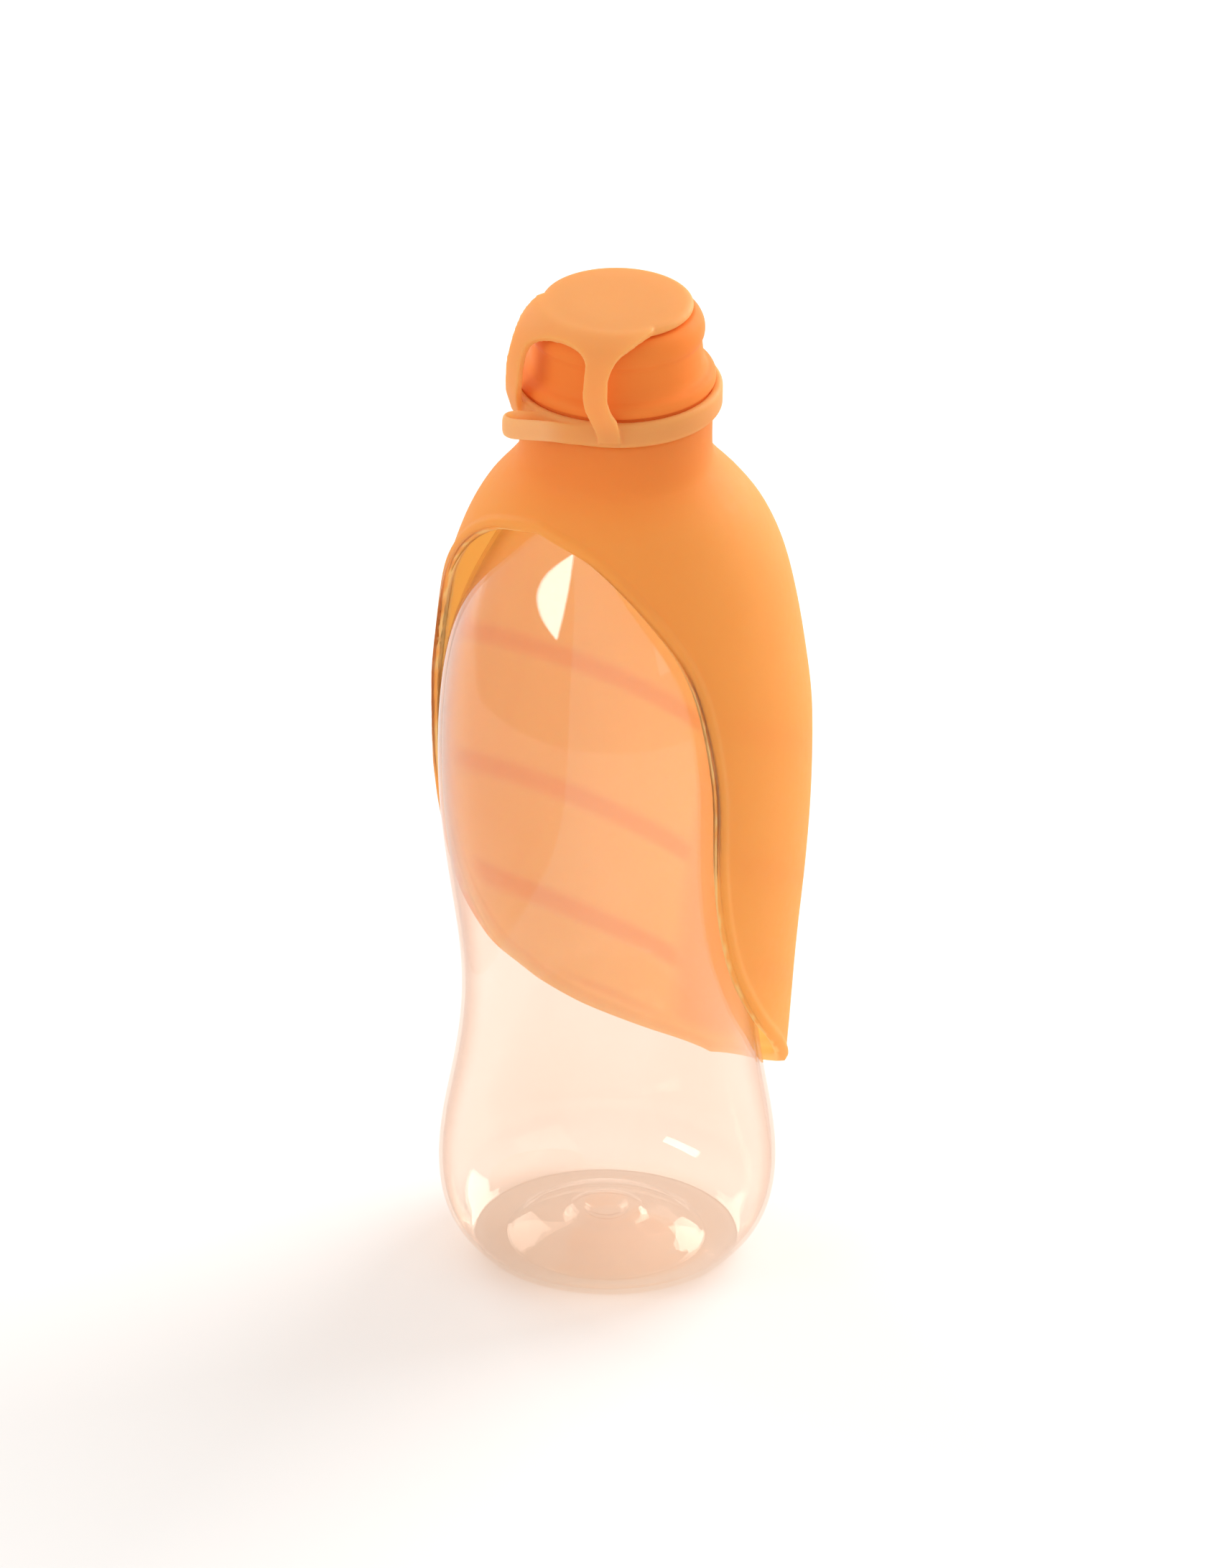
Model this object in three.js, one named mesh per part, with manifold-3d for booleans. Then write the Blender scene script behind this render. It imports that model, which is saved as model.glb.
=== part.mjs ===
// Pet travel bottle: a clear squeeze bottle with a soft leaf-shaped drinking bowl folded down over
// its back, a stepped screw cap, and a soft stopper lid on a two-legged strap from a ring round the cap.
// Millimetres, +Z up. The front (-Y) is the side with the leaf's window, the strap and the hang loop.
import * as THREE from "three";
import { mergeVertices } from "three/addons/utils/BufferGeometryUtils.js";
import Module from "manifold-3d";

const wasm = await Module();
wasm.setup();

// ---------- driving dimensions ----------

// The bottle's axis stands forward of the middle of the whole object, as the leaf stands off at the back.
const AXIS_Y = -5;

// Bottle: [radius, height] of the outer wall from the resting ring up to the barrel under the neck finish.
const BOTTLE_OUTLINE = [
  [31.5, 0],
  [35.2, 1.7],
  [38.6, 6],
  [40.5, 13],
  [41, 21],
  [40.1, 31],
  [37.6, 43],
  [35.5, 57],
  [35.1, 72],
  [36.9, 87],
  [39.3, 102],
  [41.1, 117],
  [41.6, 132],
  [41.1, 147],
  [39.2, 161],
  [35.2, 173],
  [30, 183],
  [25, 192],
  [21.4, 200],
  [20, 206],
];
const BOTTLE_WALL = 0.9;
const BASE_INNER_RADIUS = 23.5; // inner edge of the resting ring, where the push-up starts
const BASE_PUSH_UP = 6.5;
const BASE_KNOB_RADIUS = 9; // of the round knob in the middle of the push-up
const BARREL_RADIUS = 20;
const BARREL_TOP = 219; // top of the wide barrel that the leaf's collar grips
const FINISH_RADIUS = 17; // outer radius of the threaded neck
const FINISH_WALL = 1.6;
const MOUTH_TOP = 243.3;

// Screw thread between the neck and the cap.
const THREAD_PITCH = 4;
const THREAD_TURNS = 1.25;
const THREAD_START = 228; // height of the neck thread's lower end
const NECK_THREAD_CREST = 18.3;
const CAP_THREAD_CREST = 17.6;
const THREAD_WIDTH = 1.4; // along the axis, at the root of the ridge
const THREAD_ROOTING = 0.4; // how far a ridge reaches into the wall that carries it
const THREAD_RUN_OUT = 0.1; // share of the ridge's length over which it fades out at each end

// Screw cap.
const CAP_BOTTOM = 223;
const CAP_TOP = 247.4;
const CAP_BORE = 18.8;
const CAP_DECK = 2.2; // thickness of the cap's top
const SKIRT_RADIUS = 22.6; // lower skirt, which carries the lid's ring
const SPOUT_RADIUS = 20.2; // narrower upper part
const OUTLET_RADIUS = 8.6;

// Gasket that seals the cap on the bottle's mouth.
const GASKET_INNER = 14.6;
const GASKET_OUTER = 18.2;
const GASKET_BOTTOM = 243.6;
const GASKET_TOP = 244.9;

// Soft lid: stopper disc, strap, ring and hang loop.
const DISC_RADIUS = 18;
const DISC_BOTTOM = 247.7;
const DISC_TOP = 250.3;
const BOSS_RADIUS = 7;
const BOSS_DEPTH = 1.8; // how far the stopper's boss reaches below the disc
const RING_INNER = 23;
const RING_OUTER = 25.1;
const RING_BOTTOM = 222.9;
const RING_TOP = 229.1;
const STRAP_THICKNESS = 1.8;
const LOOP_THICKNESS = 1.5;
const LID_HINGE = { y: -19.5, z: 249.9 }; // where the strap's web folds when the lid opens
const LEGS_TOP = 240; // below here the legs and their feet belong wholly to the ring

// Strap's middle surface as [radius, height] from inside the disc to the foot on the ring.
const STRAP_PATH = [
  [16.5, 249.2],
  [18.8, 249.1],
  [21.2, 248.3],
  [23.7, 246.8],
  [25.7, 244.4],
  [27, 241.4],
  [27.6, 238],
  [27.5, 234],
  [26.6, 230],
  [25.6, 227],
  [24.9, 224.6],
];
const STRAP_TURN = 2.5; // degrees by which the strap's middle stands off the front
// Outer edge of each leg as [share of the path, degrees from the strap's middle].
const LEG_OUTER_EDGE = [
  [0, 65],
  [0.045, 64],
  [0.07, 61],
  [0.1, 56],
  [0.14, 50],
  [0.2, 43.5],
  [0.255, 38],
  [0.314, 34.5],
  [0.372, 32.5],
  [0.45, 31],
  [0.62, 31],
  [0.72, 33],
  [0.8, 36],
  [0.9, 37.5],
  [1, 38],
];
const OPENING_TOP = 0.205; // share of the path at which the opening between the legs starts
const OPENING_SHOULDER = 0.37; // share at which the opening reaches its full width
const OPENING_HALF_ANGLE = 19.3;
const OPENING_FLARE = 7; // degrees by which each leg's inner edge draws aside at its foot
const FLARE_START = 0.58; // share of the path from which it does so
const WEB_OVERLAP_ANGLE = 1; // how far each leg's web reaches past the middle into the other's

// Hang loop's middle line in plan: it leaves the ring at the front, turns back and meets the ring again.
const LOOP_PATH = [
  [10.6, -21.8],
  [6.4, -24.6],
  [1.7, -26.6],
  [-3, -29.4],
  [-6.6, -31.4],
  [-9.2, -30.6],
  [-8.8, -27.9],
  [-5.2, -25.4],
  [-1.4, -23.9],
];

// Leaf: [height, half width, depth to the back, depth to the front] of its outer surface.
const LEAF_STATIONS = [
  [28, 37, 47.6, 47.6],
  [51, 38.5, 49.8, 49.8],
  [75, 40.3, 51, 51],
  [100, 43.5, 51.3, 51.3],
  [120, 45, 51.5, 51.5],
  [140, 45.2, 51, 51],
  [155, 43.8, 49, 46.5],
  [170, 41.5, 46.2, 41.8],
  [182, 38.7, 43, 38],
  [192, 35.1, 38.2, 34.8],
  [200, 30.8, 32, 30.8],
  [206.5, 25.6, 25.9, 25.6],
  [211, 23, 23, 23],
  [222.4, 22.9, 22.9, 22.9],
];
// Leaf's edge from the window's top at the front to the tip at the back: [degrees from the front, height].
const LEAF_EDGE = [
  [0, 200.5],
  [28, 196],
  [50, 183.5],
  [65, 166],
  [71, 141],
  [73, 113],
  [81, 87],
  [97, 67.5],
  [115, 54.5],
  [125, 48],
  [139.5, 40.3],
  [159.5, 32.8],
  [180, 28.6],
];
const LEAF_LEAN = 5.5; // degrees by which the leaf's lower part leans to one side
const LEAN_HEIGHTS = [50, 110]; // the lean is full below the first and gone above the second
const LEAF_EDGE_CURVE = new THREE.SplineCurve(LEAF_EDGE.map(([a, z]) => new THREE.Vector2(a, z)));
const LEAF_TOP = 222.4;
const LEAF_WALL = 2.2;
const LEAF_BEAD = 0.6; // extra thickness on each face along the leaf's edge
const LEAF_HINGE = { y: 42.4, z: 185 }; // fold line across the back of the leaf
const LEAF_CUT_SLOPE = 1.2; // how steeply the boundary of the moving blade falls towards the front
const CUT_GAP = 0.3; // between the two halves of a moulding that folds there
const HOOD_HEIGHT = 203; // down to here the sleeve is a full ring
const HOOD_SHARE = 0.34; // share of the sleeve's rows above that height

const ALL_SPACE = 600; // side of a block that is larger than the whole object

// How finely the round shapes are divided.
const ROUND_STEPS = 36;
const WALL_STEPS = 20;
const THREAD_STEPS = 26;
const LEAF_COLUMNS = 44;
const LEAF_ROWS = 14;
const STATION_SAMPLES = 260; // points on each of the leaf's section curves

// ---------- colours ----------

const clearPet = new THREE.MeshStandardMaterial({
  color: 0xf7e3d2,
  roughness: 0.08,
  metalness: 0,
  transparent: true,
  opacity: 0.4,
});
const orangeSilicone = new THREE.MeshStandardMaterial({ color: 0xf79b50, roughness: 0.55 });
const orangePlastic = new THREE.MeshStandardMaterial({ color: 0xf08340, roughness: 0.4 });
const paleSilicone = new THREE.MeshStandardMaterial({ color: 0xf4ece2, roughness: 0.6 });

// ---------- geometry helpers ----------

// A geometry as a manifold solid facing out, with only its positions kept and shared vertices merged.
function solid(geometry) {
  const bare = new THREE.BufferGeometry();
  bare.setAttribute("position", geometry.getAttribute("position"));
  if (geometry.index) bare.setIndex(geometry.index);
  const merged = mergeVertices(bare, 1e-4);
  const vertProperties = new Float32Array(merged.attributes.position.array);
  const triVerts = triangles(merged.index.array);
  const body = new wasm.Manifold(new wasm.Mesh({ numProp: 3, vertProperties, triVerts }));
  if (body.volume() > 0) return body;
  triVerts.reverse();
  return new wasm.Manifold(new wasm.Mesh({ numProp: 3, vertProperties, triVerts }));
}

// An index list without the triangles that merging has closed up, such as those at a lathe's axis.
function triangles(index) {
  const kept = [];
  for (let i = 0; i < index.length; i += 3) {
    const [a, b, c] = [index[i], index[i + 1], index[i + 2]];
    if (a !== b && b !== c && c !== a) kept.push(a, b, c);
  }
  return new Uint32Array(kept);
}

// A manifold solid as a mesh named for its piece.
function named(name, body, material) {
  const { vertProperties, triVerts } = body.getMesh();
  const geometry = new THREE.BufferGeometry();
  geometry.setAttribute("position", new THREE.BufferAttribute(vertProperties, 3));
  geometry.setIndex(new THREE.BufferAttribute(triVerts, 1));
  geometry.computeVertexNormals();
  const mesh = new THREE.Mesh(geometry, material);
  mesh.name = name;
  return mesh;
}

// A solid of revolution about Z from an outline of [radius, height] points.
// An outline that starts on the axis must end on it; any other outline is closed on itself.
function turned(outline, segments) {
  const points = outline.map(([r, z]) => new THREE.Vector2(r, z));
  if (outline[0][0] !== 0) points.push(points[0].clone());
  const geometry = new THREE.LatheGeometry(points, segments);
  geometry.rotateX(Math.PI / 2);
  return solid(geometry);
}

// A smooth plane curve through [x, y] pairs.
function curveThrough(pairs) {
  return new THREE.SplineCurve(pairs.map(([x, y]) => new THREE.Vector2(x, y)));
}

// The value at a position in a table of [position, value] rows, in a straight line between rows.
function tableValue(rows, position) {
  let i = 0;
  while (i < rows.length - 2 && position > rows[i + 1][0]) i += 1;
  const [[a, valueA], [b, valueB]] = [rows[i], rows[i + 1]];
  const share = THREE.MathUtils.clamp((position - a) / (b - a), 0, 1);
  return THREE.MathUtils.lerp(valueA, valueB, share);
}

// A closed shell between an outer face (side 1) and an inner face (side 0): point(u, v, side) is a vertex.
// A wrapped shell closes on itself along u, like a sleeve; any other has an edge wall on all four sides.
function shell(nu, nv, point, wrapped = false) {
  const columns = wrapped ? nu : nu + 1;
  const positions = [];
  for (let i = 0; i < columns; i += 1)
    for (let j = 0; j <= nv; j += 1)
      for (const side of [0, 1]) positions.push(...point(i / nu, j / nv, side).toArray());
  const at = (i, j, side) => ((i % columns) * (nv + 1) + j) * 2 + side;
  const index = [];
  const quad = (a, b, c, d) => index.push(a, b, c, a, c, d);
  for (let i = 0; i < nu; i += 1) {
    for (let j = 0; j < nv; j += 1) {
      quad(at(i, j, 1), at(i, j + 1, 1), at(i + 1, j + 1, 1), at(i + 1, j, 1));
      quad(at(i, j, 0), at(i + 1, j, 0), at(i + 1, j + 1, 0), at(i, j + 1, 0));
    }
    quad(at(i, 0, 0), at(i, 0, 1), at(i + 1, 0, 1), at(i + 1, 0, 0));
    quad(at(i, nv, 1), at(i, nv, 0), at(i + 1, nv, 0), at(i + 1, nv, 1));
  }
  for (let j = 0; j < nv && !wrapped; j += 1) {
    quad(at(0, j, 1), at(0, j, 0), at(0, j + 1, 0), at(0, j + 1, 1));
    quad(at(nu, j, 0), at(nu, j, 1), at(nu, j + 1, 1), at(nu, j + 1, 0));
  }
  const geometry = new THREE.BufferGeometry();
  geometry.setAttribute("position", new THREE.Float32BufferAttribute(positions, 3));
  geometry.setIndex(index);
  return solid(geometry);
}

// All of space on one side of a plane that holds a line parallel to X.
// slope is the plane's rise towards the back; side is +1 for above the plane and -1 for below it.
function halfSpace(line, slope, side, gap) {
  const box = new THREE.BoxGeometry(ALL_SPACE, ALL_SPACE, ALL_SPACE);
  box.translate(0, 0, side * (ALL_SPACE / 2 + gap));
  box.rotateX(Math.atan(slope));
  box.translate(0, line.y, line.z);
  return solid(box);
}

// A point at an angle from the front (-Y) towards +X, a distance from the axis and a height.
function polar(angle, radius, height) {
  return new THREE.Vector3(radius * Math.sin(angle), -radius * Math.cos(angle), height);
}

// A helical ridge from root to crest, rooted a little way into its wall and run out to nothing at both ends.
function threadRidge(root, crest, startHeight) {
  const rooted = root + Math.sign(root - crest) * THREAD_ROOTING;
  return shell(THREAD_STEPS, 1, (u, v, side) => {
    const turn = u * THREAD_TURNS;
    const fullness = THREE.MathUtils.clamp(Math.min(u, 1 - u) / THREAD_RUN_OUT, 0.1, 1);
    const radius = side === 1 ? THREE.MathUtils.lerp(root, crest, fullness) : rooted;
    const width = side === 1 ? THREAD_WIDTH * 0.6 : THREAD_WIDTH;
    const height = startHeight + turn * THREAD_PITCH + (v - 0.5) * width;
    return polar(turn * 2 * Math.PI, radius, height);
  });
}

// ---------- bottle ----------

function bottleBody() {
  const wall = curveThrough(BOTTLE_OUTLINE)
    .getPoints(WALL_STEPS)
    .map((p) => [p.x, p.y]);
  const innerWall = wall.map(([r, z]) => [r - BOTTLE_WALL, z + BOTTLE_WALL / 2]);
  const pushUp = [
    [BASE_KNOB_RADIUS / 2, BASE_PUSH_UP - 1],
    [BASE_KNOB_RADIUS / 2 + 0.8, BASE_PUSH_UP],
    [BASE_KNOB_RADIUS, BASE_PUSH_UP],
    [BASE_KNOB_RADIUS + 1, BASE_PUSH_UP - 0.8],
    [BASE_INNER_RADIUS - 9, BASE_PUSH_UP - 2.2],
    [BASE_INNER_RADIUS - 2, 0.9],
    [BASE_INNER_RADIUS, 0],
  ];
  const floor = pushUp.map(([r, z]) => [r, z + BOTTLE_WALL]);
  const neck = [
    [BARREL_RADIUS, BARREL_TOP - 0.6],
    [BARREL_RADIUS - 0.6, BARREL_TOP],
    [FINISH_RADIUS, BARREL_TOP + 1.4],
    [FINISH_RADIUS, MOUTH_TOP - 0.4],
    [FINISH_RADIUS - 0.4, MOUTH_TOP],
    [FINISH_RADIUS - FINISH_WALL, MOUTH_TOP],
    [FINISH_RADIUS - FINISH_WALL, BARREL_TOP + 0.6],
    [BARREL_RADIUS - 1.6, BARREL_TOP - 1.6],
  ];
  const outline = [
    [0, BASE_PUSH_UP - 1],
    ...pushUp,
    ...wall,
    ...neck,
    ...innerWall.reverse(),
    ...floor.reverse(),
    [0, BASE_PUSH_UP - 1 + BOTTLE_WALL],
  ];
  return turned(outline, ROUND_STEPS).add(threadRidge(FINISH_RADIUS, NECK_THREAD_CREST, THREAD_START));
}

// ---------- cap and gasket ----------

function screwCap() {
  const outline = [
    [CAP_BORE + 1, CAP_BOTTOM],
    [SKIRT_RADIUS - 0.4, CAP_BOTTOM],
    [SKIRT_RADIUS, CAP_BOTTOM + 0.4],
    [SKIRT_RADIUS, RING_TOP + CUT_GAP],
    [SKIRT_RADIUS + 0.8, RING_TOP + 0.6],
    [SKIRT_RADIUS + 0.9, RING_TOP + 2],
    [SKIRT_RADIUS + 0.1, RING_TOP + 3.4],
    [SPOUT_RADIUS + 1, RING_TOP + 4.6],
    [SPOUT_RADIUS + 0.3, RING_TOP + 6.1],
    [SPOUT_RADIUS, RING_TOP + 8.4],
    [SPOUT_RADIUS - 0.1, CAP_TOP - 7],
    [SPOUT_RADIUS + 0.3, CAP_TOP - 6],
    [SPOUT_RADIUS + 0.5, CAP_TOP - 4.4],
    [SPOUT_RADIUS + 0.2, CAP_TOP - 2.6],
    [SPOUT_RADIUS - 0.6, CAP_TOP - 1],
    [SPOUT_RADIUS - 1.9, CAP_TOP],
    [OUTLET_RADIUS + 0.5, CAP_TOP],
    [OUTLET_RADIUS, CAP_TOP - 0.5],
    [OUTLET_RADIUS, CAP_TOP - CAP_DECK],
    [CAP_BORE, CAP_TOP - CAP_DECK],
    [CAP_BORE, CAP_BOTTOM + 1],
  ];
  // The cap's ridge runs half a pitch above the neck's, so the two mesh with clearance on both flanks.
  const ridge = threadRidge(CAP_BORE, CAP_THREAD_CREST, THREAD_START + THREAD_PITCH / 2);
  return turned(outline, ROUND_STEPS).add(ridge);
}

function capGasket() {
  const outline = [
    [GASKET_INNER, GASKET_BOTTOM],
    [GASKET_OUTER, GASKET_BOTTOM],
    [GASKET_OUTER, GASKET_TOP],
    [GASKET_INNER, GASKET_TOP],
  ];
  return turned(outline, ROUND_STEPS);
}

// ---------- soft lid ----------

// Half the angle of the opening between the legs, growing from nothing along a round arch to its full width.
function openingAngle(share) {
  const rise = (share - OPENING_TOP) / (OPENING_SHOULDER - OPENING_TOP);
  if (rise <= 0) return -WEB_OVERLAP_ANGLE;
  const flare = OPENING_FLARE * THREE.MathUtils.smoothstep(share, FLARE_START, 1);
  return OPENING_HALF_ANGLE * Math.sqrt(1 - (1 - Math.min(rise, 1)) ** 2) + flare;
}

// Both legs of the strap, which meet in a web above the opening and run on into the disc and the ring.
function strap() {
  const path = curveThrough(STRAP_PATH);
  const leg = (handedness) =>
    shell(5, 24, (u, v, side) => {
      const middle = path.getPointAt(v);
      const along = path.getTangentAt(v);
      const offset = (side - 0.5) * STRAP_THICKNESS;
      const degrees = THREE.MathUtils.lerp(openingAngle(v), tableValue(LEG_OUTER_EDGE, v), u);
      const angle = THREE.MathUtils.degToRad(STRAP_TURN + handedness * degrees);
      return polar(angle, middle.x - along.y * offset, middle.y + along.x * offset);
    });
  return leg(1).add(leg(-1));
}

function stopperDisc() {
  const outline = [
    [0, DISC_BOTTOM - BOSS_DEPTH],
    [BOSS_RADIUS - 0.6, DISC_BOTTOM - BOSS_DEPTH],
    [BOSS_RADIUS, DISC_BOTTOM - BOSS_DEPTH + 0.6],
    [BOSS_RADIUS, DISC_BOTTOM],
    [DISC_RADIUS - 0.7, DISC_BOTTOM],
    [DISC_RADIUS, DISC_BOTTOM + 0.7],
    [DISC_RADIUS, DISC_TOP - 1.2],
    [DISC_RADIUS - 0.5, DISC_TOP - 0.6],
    [DISC_RADIUS - 1.6, DISC_TOP - 0.2],
    [DISC_RADIUS - 6, DISC_TOP],
    [0, DISC_TOP],
  ];
  return turned(outline, ROUND_STEPS);
}

function neckRing() {
  const outline = [
    [RING_INNER, RING_BOTTOM],
    [RING_OUTER - 0.6, RING_BOTTOM],
    [RING_OUTER, RING_BOTTOM + 0.8],
    [RING_OUTER, RING_TOP - 0.8],
    [RING_OUTER - 0.6, RING_TOP],
    [RING_INNER, RING_TOP],
  ];
  return turned(outline, ROUND_STEPS);
}

function hangLoop() {
  const path = curveThrough(LOOP_PATH);
  return shell(24, 1, (u, v, side) => {
    const middle = path.getPointAt(u);
    const along = path.getTangentAt(u);
    const offset = (side - 0.5) * LOOP_THICKNESS;
    const height = THREE.MathUtils.lerp(RING_BOTTOM + 0.1, RING_TOP - 0.1, v);
    return new THREE.Vector3(middle.x - along.y * offset, middle.y + along.x * offset, height);
  });
}

// All of space behind an upright plane across Y, from the top of the legs up.
function spaceBehind(y) {
  const box = new THREE.BoxGeometry(ALL_SPACE, ALL_SPACE, ALL_SPACE);
  box.translate(0, y + ALL_SPACE / 2, LEGS_TOP + ALL_SPACE / 2);
  return solid(box);
}

// The strap in front of the fold stays with the ring, and the short web behind the fold lifts with the disc.
function lidTether() {
  const behind = spaceBehind(LID_HINGE.y - CUT_GAP / 2);
  return strap().subtract(behind).add(neckRing()).add(hangLoop());
}

function lidDisc() {
  const behind = spaceBehind(LID_HINGE.y + CUT_GAP / 2);
  return strap().intersect(behind).add(stopperDisc());
}

// ---------- leaf bowl ----------

// One column of the leaf's stations as a function of height.
function stationCurve(column) {
  const curve = curveThrough(LEAF_STATIONS.map((station) => [station[0], station[column]]));
  const rows = curve.getPoints(STATION_SAMPLES).map((p) => [p.x, p.y]);
  return (height) => tableValue(rows, height);
}

const leafHalfWidth = stationCurve(1);
const leafBackDepth = stationCurve(2);
const leafFrontDepth = stationCurve(3);

// A point of the leaf's outer surface: each level is half an ellipse to the back and half to the front.
function leafPoint(angle, height) {
  const depth = Math.cos(angle) < 0 ? leafBackDepth(height) : leafFrontDepth(height);
  const radius = 1 / Math.hypot(Math.sin(angle) / leafHalfWidth(height), Math.cos(angle) / depth);
  return polar(angle, radius, height);
}

// The outward direction of the leaf's surface there.
function leafNormal(angle, height) {
  const step = 0.02;
  const around = leafPoint(angle + step, height).sub(leafPoint(angle - step, height));
  const upper = leafPoint(angle, Math.min(height + 0.5, LEAF_TOP));
  const up = upper.sub(leafPoint(angle, height - 0.5));
  return around.cross(up).normalize();
}

// The turn to one side, in degrees, at a height of the leaf.
function leafLean(height) {
  return LEAF_LEAN * (1 - THREE.MathUtils.smoothstep(height, ...LEAN_HEIGHTS));
}

// Angle and height at a share of the way round, from the front through +X to the back, and of the way down.
// The upper rows are level, as far as the hood, and the lower ones fan out to the leaf's edge.
function leafPlace(shareRound, shareDown) {
  const degrees = 180 * shareRound;
  if (shareDown < HOOD_SHARE) {
    const height = THREE.MathUtils.lerp(LEAF_TOP, HOOD_HEIGHT, shareDown / HOOD_SHARE);
    return [degrees, height];
  }
  const edge = LEAF_EDGE_CURVE.getPointAt(shareRound);
  const fan = (shareDown - HOOD_SHARE) / (1 - HOOD_SHARE);
  return [THREE.MathUtils.lerp(degrees, edge.x, fan), THREE.MathUtils.lerp(HOOD_HEIGHT, edge.y, fan)];
}

// Collar, hood and leaf in one sleeve, with a bead along the edge.
function leafSleeve() {
  return shell(
    LEAF_COLUMNS,
    LEAF_ROWS,
    (u, v, side) => {
      const handedness = u <= 0.5 ? 1 : -1;
      const [degrees, height] = leafPlace(1 - Math.abs(2 * u - 1), v);
      const angle = THREE.MathUtils.degToRad(handedness * degrees + leafLean(height));
      const bead = v === 1 ? LEAF_BEAD : 0;
      const offset = side === 1 ? bead : -LEAF_WALL - bead;
      return leafPoint(angle, height).addScaledVector(leafNormal(angle, height), offset);
    },
    true,
  );
}

function leafCollar() {
  return leafSleeve().intersect(halfSpace(LEAF_HINGE, LEAF_CUT_SLOPE, 1, CUT_GAP / 2));
}

function leafBlade() {
  return leafSleeve().intersect(halfSpace(LEAF_HINGE, LEAF_CUT_SLOPE, -1, CUT_GAP / 2));
}

// ---------- assembly ----------

const bottle = new THREE.Group();
bottle.position.y = AXIS_Y;
bottle.add(named("bottle_body", bottleBody(), clearPet));

const cap = new THREE.Group();
cap.add(named("screw_cap", screwCap(), orangePlastic));
cap.add(named("cap_gasket", capGasket(), paleSilicone));
cap.add(named("lid_tether", lidTether(), orangeSilicone));
cap.add(named("lid_disc", lidDisc(), orangeSilicone));
bottle.add(cap);

const leaf = new THREE.Group();
leaf.add(named("leaf_collar", leafCollar(), orangeSilicone));
leaf.add(named("leaf_blade", leafBlade(), orangeSilicone));
bottle.add(leaf);

const petBottle = new THREE.Group();
petBottle.add(bottle);

export default petBottle;
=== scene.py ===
"""Looks for the travel bottle with the folding leaf bowl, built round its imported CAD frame."""

import math

import bmesh
import bpy
import numpy as np
from mathutils import Matrix, Vector


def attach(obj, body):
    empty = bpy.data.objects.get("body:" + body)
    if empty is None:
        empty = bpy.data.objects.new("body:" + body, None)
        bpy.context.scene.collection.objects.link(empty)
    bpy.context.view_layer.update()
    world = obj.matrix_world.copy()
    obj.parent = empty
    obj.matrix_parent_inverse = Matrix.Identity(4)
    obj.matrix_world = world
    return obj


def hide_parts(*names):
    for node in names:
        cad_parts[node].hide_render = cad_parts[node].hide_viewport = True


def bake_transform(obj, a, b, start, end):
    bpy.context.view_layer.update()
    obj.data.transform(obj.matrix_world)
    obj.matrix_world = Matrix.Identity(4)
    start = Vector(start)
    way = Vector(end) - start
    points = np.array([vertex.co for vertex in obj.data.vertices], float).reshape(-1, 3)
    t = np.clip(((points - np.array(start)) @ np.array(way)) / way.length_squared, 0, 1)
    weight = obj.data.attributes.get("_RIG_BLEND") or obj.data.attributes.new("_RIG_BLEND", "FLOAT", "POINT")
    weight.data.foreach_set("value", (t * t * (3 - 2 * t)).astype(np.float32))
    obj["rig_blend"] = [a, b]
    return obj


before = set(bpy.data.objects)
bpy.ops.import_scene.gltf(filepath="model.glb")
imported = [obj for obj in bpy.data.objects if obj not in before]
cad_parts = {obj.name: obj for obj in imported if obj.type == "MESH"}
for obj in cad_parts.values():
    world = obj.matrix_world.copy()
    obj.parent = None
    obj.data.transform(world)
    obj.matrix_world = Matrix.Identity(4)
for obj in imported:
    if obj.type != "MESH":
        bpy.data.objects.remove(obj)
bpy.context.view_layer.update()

# ---------- driving dimensions, in millimetres about the bottle's own axis ----------

MM = 0.001
AXIS_Y = -5.0  # the bottle's axis in the row frame
TAU = 2 * math.pi

# Bottle's outer wall as (radius, height), from the resting ring up to the barrel.
BOTTLE_OUTLINE = [
    (31.5, 0), (35.2, 1.7), (38.6, 6), (40.5, 13), (41, 21), (40.1, 31), (37.6, 43), (35.5, 57),
    (35.1, 72), (36.9, 87), (39.3, 102), (41.1, 117), (41.6, 132), (41.1, 147), (39.2, 161),
    (35.2, 173), (30, 183), (25, 192), (21.4, 200), (20, 206),
]
WALL_EASING = 60  # smoothing passes that even out the wall's curvature between those points
BOTTLE_WALL = 0.9
BASE_INNER_RADIUS = 23.5
BASE_PUSH_UP = 6.5
BASE_KNOB_RADIUS = 9.0
BARREL_RADIUS = 20.0
BARREL_TOP = 219.0
FINISH_RADIUS = 17.0
FINISH_WALL = 1.6
MOUTH_TOP = 243.3
SEAM_ANGLE = 115.0  # degrees from the front at which the mould's parting line runs
SEAM_HEIGHT = 0.1
SEAM_HALF_WIDTH = 0.35

THREAD_PITCH = 4.0
THREAD_TURNS = 1.25
THREAD_START = 228.0
NECK_THREAD_DEPTH = 1.3
CAP_THREAD_DEPTH = 1.2
THREAD_HALF_WIDTH = 0.8
THREAD_RUN_OUT = 0.1

CAP_BOTTOM = 223.0
CAP_TOP = 247.4
CAP_BORE = 18.8
CAP_DECK = 2.2
SKIRT_RADIUS = 22.6
SPOUT_RADIUS = 20.2
OUTLET_RADIUS = 8.6

GASKET_INNER = 14.6
GASKET_OUTER = 18.2
GASKET_BOTTOM = 243.6
GASKET_TOP = 244.9
GASKET_ROUND = 0.35

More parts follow.
